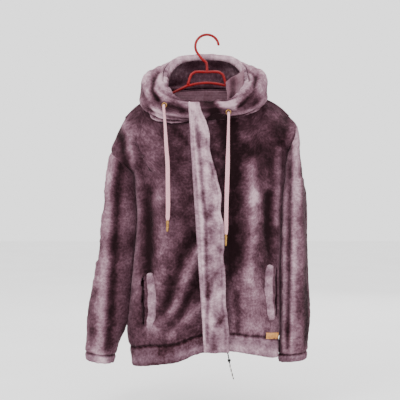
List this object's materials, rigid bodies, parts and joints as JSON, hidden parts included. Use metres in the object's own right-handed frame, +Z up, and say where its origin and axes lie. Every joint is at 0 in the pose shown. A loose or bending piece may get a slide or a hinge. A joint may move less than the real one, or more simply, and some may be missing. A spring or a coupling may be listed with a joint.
{
  "type": "hooded zip jacket on a hanger",
  "caption": "Hooded plush jacket hanging on a plastic hanger, with a zip behind a front flap, drawstrings, welt pockets and loose sleeves.",
  "frame": {"origin": "the point inside the crown of the hanger's hook that bears on the rail", "axes": "+Z up along the hanging garment, -Y towards its front, +X towards the wearer's left"},
  "size_m": [0.5629, 0.1917, 0.8448],
  "materials": {
    "hanger_plastic": "one-piece injection-moulded red plastic, glossy",
    "plush": "dusty mauve flannel fleece with a brushed pile",
    "plush_trim": "the same fleece folded double",
    "lining": "knit back of the fleece",
    "zip_tape": "woven polyester tape",
    "zip_plastic": "moulded acetal teeth and slider",
    "braid": "flat braided polyester cord, pale pink",
    "pull_cord": "waxed braided cord, black",
    "brass": "plated eyelets and cord ends",
    "label_leather": "tan imitation leather, blank"
  },
  "bodies": {
    "jacket": {"hanger_hook": "hanger_plastic", "hanger_loop": "hanger_plastic", "hanger_bar": "hanger_plastic", "hanger_right_arm": "hanger_plastic", "hanger_left_arm": "hanger_plastic", "right_front": "plush", "right_front_hem": "plush_trim", "right_pocket_welt": "plush_trim", "right_pocket_bag": "lining", "right_hood_panel": "plush", "right_hood_casing": "plush_trim", "right_eyelet": "brass", "right_zip_tape": "zip_tape", "right_zip_teeth": "zip_plastic", "left_front": "plush", "left_front_hem": "plush_trim", "left_pocket_welt": "plush_trim", "left_pocket_bag": "lining", "left_hood_panel": "plush", "left_hood_casing": "plush_trim", "left_eyelet": "brass", "left_zip_tape": "zip_tape", "left_zip_teeth": "zip_plastic", "back": "plush", "back_hem": "plush_trim", "back_neck_facing": "lining", "hem_label": "label_leather"},
    "right_sleeve": {"right_sleeve": "plush", "right_cuff": "plush_trim"},
    "left_sleeve": {"left_sleeve": "plush", "left_cuff": "plush_trim"},
    "front_flap": {"front_flap": "plush_trim"},
    "zip_slider": {"zip_slider": "zip_plastic"},
    "zip_pull": {"zip_pull_cord": "pull_cord", "zip_pull_knot": "pull_cord"},
    "right_drawstring": {"right_drawstring": "braid", "right_drawstring_tip": "brass"},
    "left_drawstring": {"left_drawstring": "braid", "left_drawstring_tip": "brass"}
  },
  "joints": [
    {"name": "right_sleeve_swing", "type": "hinge", "parent": "jacket", "child": "right_sleeve", "pos_m": [-0.243, 0, -0.289], "axis": [0, 1, 0], "range_deg": [0, 40]},
    {"name": "left_sleeve_swing", "type": "hinge", "parent": "jacket", "child": "left_sleeve", "pos_m": [0.23, 0, -0.222], "axis": [0, -1, 0], "range_deg": [0, 40]},
    {"name": "flap_open", "type": "hinge", "parent": "jacket", "child": "front_flap", "pos_m": [-0.046, -0.087, -0.177], "axis": [0.0637, -0.0218, -0.9977], "range_deg": [0, 100]},
    {"name": "zip_slide", "type": "slide", "parent": "jacket", "child": "zip_slider", "axis": [-0.0844, 0.0412, 0.9956], "range_m": [0, 0.49]},
    {"name": "zip_pull_swing", "type": "hinge", "parent": "zip_slider", "child": "zip_pull", "pos_m": [0.041, -0.088, -0.757], "axis": [0, 1, 0], "range_deg": [-15, 15]},
    {"name": "right_drawstring_swing", "type": "hinge", "parent": "jacket", "child": "right_drawstring", "pos_m": [-0.1045, -0.0784, -0.181], "axis": [-1, 0, 0], "range_deg": [0, 60]},
    {"name": "left_drawstring_swing", "type": "hinge", "parent": "jacket", "child": "left_drawstring", "pos_m": [0.0513, -0.0804, -0.1991], "axis": [-1, 0, 0], "range_deg": [0, 60]}
  ]
}
